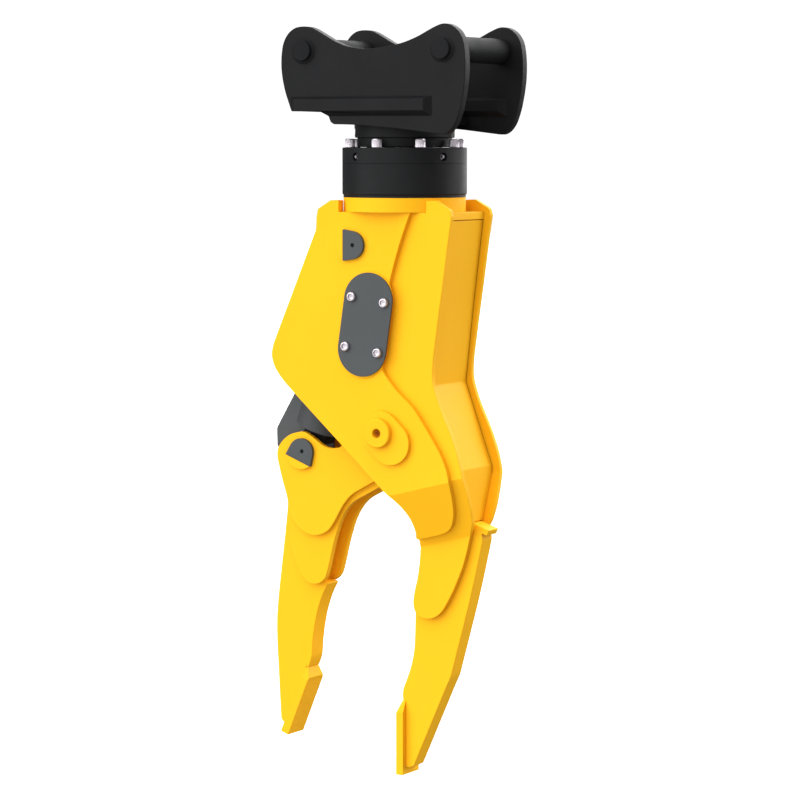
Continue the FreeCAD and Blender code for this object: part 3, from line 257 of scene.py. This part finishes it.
# painted shade along both sides of the rear web, in the corners against the side plates
painted_corner_shade(web_with_painted_shade, 0.1008, (0.12, 0.035, 0.0010))
OWN = {"pivot_cap_bolts": painted_well_shade, "rod_eye": painted_shadow_eye, "rod_guard": guard_shaded_grey, "rear_web": web_with_painted_shade, "hitch_pins": pin_coat}
for name, ob in N.items():
    for k, old in enumerate(ob.data.materials):
        key = old.name.split(".")[0] if old else "yellow_paint"
        ob.data.materials[k] = OWN.get(name) or MATS.get(key, yellow)
    if not ob.data.materials:
        ob.data.materials.append(yellow)

# ---------------------------------------------------------------- rounded sheet edges
tidy = bpy.data.node_groups.new("tidy_sheet", "GeometryNodeTree")
tidy.interface.new_socket("Geometry", in_out="INPUT", socket_type="NodeSocketGeometry")
tidy.interface.new_socket("Geometry", in_out="OUTPUT", socket_type="NodeSocketGeometry")
g_in = tidy.nodes.new("NodeGroupInput")
g_out = tidy.nodes.new("NodeGroupOutput")
g_del = tidy.nodes.new("GeometryNodeRemoveAttribute")
g_del.inputs["Name"].default_value = "custom_normal"
g_weld = tidy.nodes.new("GeometryNodeMergeByDistance")
g_weld.inputs["Distance"].default_value = 0.0002
tidy.links.new(g_in.outputs[0], g_del.inputs["Geometry"])
tidy.links.new(g_del.outputs[0], g_weld.inputs["Geometry"])
tidy.links.new(g_weld.outputs[0], g_out.inputs[0])


def soften(ob, width, angle=24.0, segments=2):
    """Rounds the sharp edges of a CAD piece by modifiers only."""
    g = ob.modifiers.new("tidy", "NODES")
    g.node_group = tidy
    d = ob.modifiers.new("planar", "DECIMATE")
    d.decimate_type = "DISSOLVE"
    d.angle_limit = math.radians(0.2)
    b = ob.modifiers.new("edge", "BEVEL")
    b.width = width * MM
    b.segments = segments
    b.limit_method = "ANGLE"
    b.angle_limit = math.radians(angle)
    b.use_clamp_overlap = False
    b.profile = 0.5
    n = ob.modifiers.new("normals", "WEIGHTED_NORMAL")
    n.weight = 60
    n.keep_sharp = False


EDGES = {
    "bracket_plate_near": 2.0, "bracket_plate_far": 2.0, "hitch_pins": 0.5, "bracket_bars": 1.0, "bracket_base_plate": 1.0,
    "neck_flange": 0.7, "neck_ring": 0.7, "frame_top_plate": 1.2, "mounting_ring": 1.2,
    "frame_side_plate_near": 1.8, "frame_side_plate_far": 1.8, "frame_doubler_near": 1.6, "frame_doubler_far": 1.6,
    "rear_web": 0.8, "front_web": 0.8, "mouth_web": 0.8, "fixed_jaw_blade": 1.8, "pivot_pads": 1.2, "pivot_caps": 0.9,
    "top_pin": 1.0, "top_pin_lock": 0.8, "jaw_pin": 1.0, "jaw_pin_lock": 0.8, "cover_pads": 1.0, "access_covers": 0.9,
    "jaw_plate_near": 1.8, "jaw_plate_far": 1.8, "jaw_doubler_near": 1.6, "jaw_doubler_far": 1.6, "jaw_hub": 1.0,
    "jaw_blade": 1.8, "jaw_webs": 1.0, "rod_eye": 1.2, "rod_guard": 1.2, "guard_fin": 1.6, "port_manifold": 1.2,
    "barrel_eye": 1.2,
}
# sheets whose shallow folds stay crisp lines
FOLDS = {"rear_web": (3.0, 5.0, 3), "frame_side_plate_near": (1.6, 14.0, 2), "frame_side_plate_far": (1.6, 14.0, 2),
         "frame_doubler_near": (1.4, 14.0, 2), "frame_doubler_far": (1.4, 14.0, 2)}
for name, width in EDGES.items():
    if name in FOLDS:
        soften(N[name], *FOLDS[name])
    else:
        soften(N[name], width)


# ---------------------------------------------------------------- mesh helpers
def new_piece(name, bm, mat, body, replaces=(), smooth_angle=35.0):
    me = bpy.data.meshes.new(name)
    bmesh.ops.recalc_face_normals(bm, faces=bm.faces)
    for f in bm.faces:
        f.smooth = True
    for e in bm.edges:
        if e.is_manifold and e.calc_face_angle(0.0) > math.radians(smooth_angle):
            e.smooth = False
    bm.to_mesh(me)
    bm.free()
    me.materials.append(mat)
    ob = bpy.data.objects.new(name, me)
    scene.collection.objects.link(ob)
    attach(ob, body)
    if replaces:
        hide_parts(*replaces)
    return ob


def ring_stack(bm, rings, n, matrix, cap_low=True, cap_high=True):
    """Closed skin through rings; each ring is (radius or radius(angle), height)."""
    rows = []
    for radius, h in rings:
        row = []
        for k in range(n):
            a = 2 * math.pi * k / n
            r = radius(a) if callable(radius) else radius
            row.append(bm.verts.new(matrix @ Vector((r * math.cos(a) * MM, r * math.sin(a) * MM, h * MM))))
        rows.append(row)
    for i in range(len(rows) - 1):
        for k in range(n):
            bm.faces.new((rows[i][k], rows[i][(k + 1) % n], rows[i + 1][(k + 1) % n], rows[i + 1][k]))
    for flag, row, h in ((cap_low, rows[0], rings[0][1]), (cap_high, rows[-1], rings[-1][1])):
        if flag:
            c = bm.verts.new(matrix @ Vector((0, 0, h * MM)))
            for k in range(n):
                bm.faces.new((row[k], row[(k + 1) % n], c))
    return rows


def hexagon(circum, turn=0.0):
    flat = circum * math.cos(math.pi / 6)
    return lambda a: flat / math.cos(((a + turn) % (math.pi / 3)) - math.pi / 6)


def frame_at(point, axis, roll=0.0):
    z = Vector(axis).normalized()
    q = z.to_track_quat("Z", "Y").to_matrix().to_4x4()
    return Matrix.Translation(Vector(point) * MM) @ q @ Matrix.Rotation(roll, 4, "Z")


# socket head cap screws round the slewing unit, with knurled heads
bm = bmesh.new()
SEG = 120


def knurl(r, depth):
    return lambda a: r - depth * (0.5 - 0.5 * math.cos(a * 40))


for i in range(8):
    a = math.radians(45 * i)
    base = frame_at((155 * math.cos(a), 155 * math.sin(a), -262.5), (0, 0, 1), math.radians(17 * i))
    ring_stack(bm, [(8.0, -84.0), (8.0, 0.0), (12.7, 0.0), (13.2, 0.6), (knurl(13.45, 0.15), 1.2), (knurl(13.5, 0.75), 2.0),
                    (knurl(13.5, 0.75), 20.6), (knurl(13.45, 0.15), 21.4), (13.2, 21.9), (12.9, 22.9), (12.2, 23.7), (11.4, 24.0),
                    (hexagon(8.1), 24.0), (hexagon(7.4), 23.3), (hexagon(7.4), 14.0), (4.0, 12.6)], SEG, base)
new_piece("flange_cap_screws_knurled", bm, zinc, "frame", ("flange_cap_screws",))

# button head screws of the access covers
CT = math.radians(8.4)
dx, dz = math.sin(CT), math.cos(CT)
ex, ez = math.cos(CT), -math.sin(CT)
bm = bmesh.new()
for s in (-1, 1):
    for k, (u, w) in enumerate(((69, -51), (69, 51), (-69, -51), (-69, 51))):
        x, z = -43.0 + dx * u + ex * w, -744.0 + dz * u + ez * w
        base = frame_at((x, s * 146.0, z), (0, s, 0), math.radians(10 + 14 * k))
        ring_stack(bm, [(6.0, -8.5), (6.0, 0.0), (13.8, 0.0), (14.2, 0.5), (14.3, 1.8), (14.2, 3.4), (13.8, 5.2), (13.1, 6.8), (12.2, 8.1),
                        (11.2, 9.0), (10.2, 9.4), (hexagon(9.4), 9.4), (hexagon(8.6), 8.6), (hexagon(8.6), 3.2), (4.0, 2.2)], 72, base)
new_piece("cover_screws_button", bm, zinc, "frame", ("cover_screws",))


# ---------------------------------------------------------------- tip pads with a serrated gripping face
def grooved(node, name, origin, down, out, length, first, last, pitch, depth, width):
    """Copy of a pad with grooves across its face. origin is the top of the face, down runs down it, out points away from it."""
    down, out = Vector(down).normalized(), Vector(out).normalized()
    across = down.cross(out).normalized()
    bm = bmesh.new()
    u = first
    while u <= last:
        o = Vector(origin) + down * u
        tri = [o - down * (pitch * 0.30) + out * 0.35, o + down * (pitch * 0.30) + out * 0.35, o - out * depth]
        a = [bm.verts.new((p - across * width) * MM) for p in tri]
        b = [bm.verts.new((p + across * width) * MM) for p in tri]
        bm.faces.new(a)
        bm.faces.new(b[::-1])
        for k in range(3):
            bm.faces.new((a[k], b[k], b[(k + 1) % 3], a[(k + 1) % 3]))
        u += pitch
    bmesh.ops.recalc_face_normals(bm, faces=bm.faces)
    cme = bpy.data.meshes.new(name + "_cutter")
    bm.to_mesh(cme)
    bm.free()
    cutter = bpy.data.objects.new(name + "_cutter", cme)
    scene.collection.objects.link(cutter)
    src = N[node]
    bm = bmesh.new()
    bm.from_mesh(src.data)
    bmesh.ops.remove_doubles(bm, verts=bm.verts, dist=1e-5)
    bmesh.ops.dissolve_limit(bm, angle_limit=0.004, verts=bm.verts, edges=bm.edges)
    me = bpy.data.meshes.new(name)
    bm.to_mesh(me)
    bm.free()
    me.attributes.remove(me.attributes["custom_normal"]) if "custom_normal" in me.attributes else None
    me.materials.append(yellow)
    ob = bpy.data.objects.new(name, me)
    scene.collection.objects.link(ob)
    mod = ob.modifiers.new("grooves", "BOOLEAN")
    mod.operation = "DIFFERENCE"
    mod.solver = "EXACT"
    mod.object = cutter
    dg = bpy.context.evaluated_depsgraph_get()
    done = bpy.data.meshes.new_from_object(ob.evaluated_get(dg))
    ob.modifiers.clear()
    ob.data = done
    done.name = name
    bpy.data.objects.remove(cutter)
    for p in done.polygons:
        p.use_smooth = False
    b = ob.modifiers.new("edge", "BEVEL")
    b.width = 0.5 * MM
    b.segments = 1
    b.limit_method = "ANGLE"
    b.angle_limit = math.radians(28)
    b.use_clamp_overlap = True
    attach(ob, frame["nodes"][node]["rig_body"])
    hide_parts(node)
    return ob


grooved("fixed_tip_pad", "fixed_tip_pad_serrated", (-2, 0, -1832), (0, 0, -1), (-1, 0, 0), 170, 2, 163, 6.0, 0.9, 60)
p2, p3 = Vector((-290, 0, -1761)), Vector((-355, 0, -1920))
face = (p3 - p2).normalized()
grooved("jaw_tip_pad", "jaw_tip_pad_serrated", p2, face, (-face.z, 0, face.x), 170, 4, (p3 - p2).length - 4, 6.0, 0.9, 60)

# ---------------------------------------------------------------- floor
bm = bmesh.new()
bmesh.ops.create_grid(bm, x_segments=2, y_segments=2, size=60.0)
me = bpy.data.meshes.new("floor")
bm.to_mesh(me)
bm.free()
floor = bpy.data.objects.new("floor", me)
scene.collection.objects.link(floor)
floor.location = (0, 0, -2.42)
fmat, ft, fb = material("studio_floor")
ft.links.new(two_tone(ft, noise(ft, coords(ft), 0.6, 2.0), (0.90, 0.90, 0.90), (0.92, 0.92, 0.92)), fb.inputs["Base Color"])
fb.inputs["Roughness"].default_value = 0.9
fb.inputs["Specular IOR Level"].default_value = 0.1
me.materials.append(fmat)
floor.visible_diffuse = False
floor.visible_glossy = False
floor.visible_shadow = False
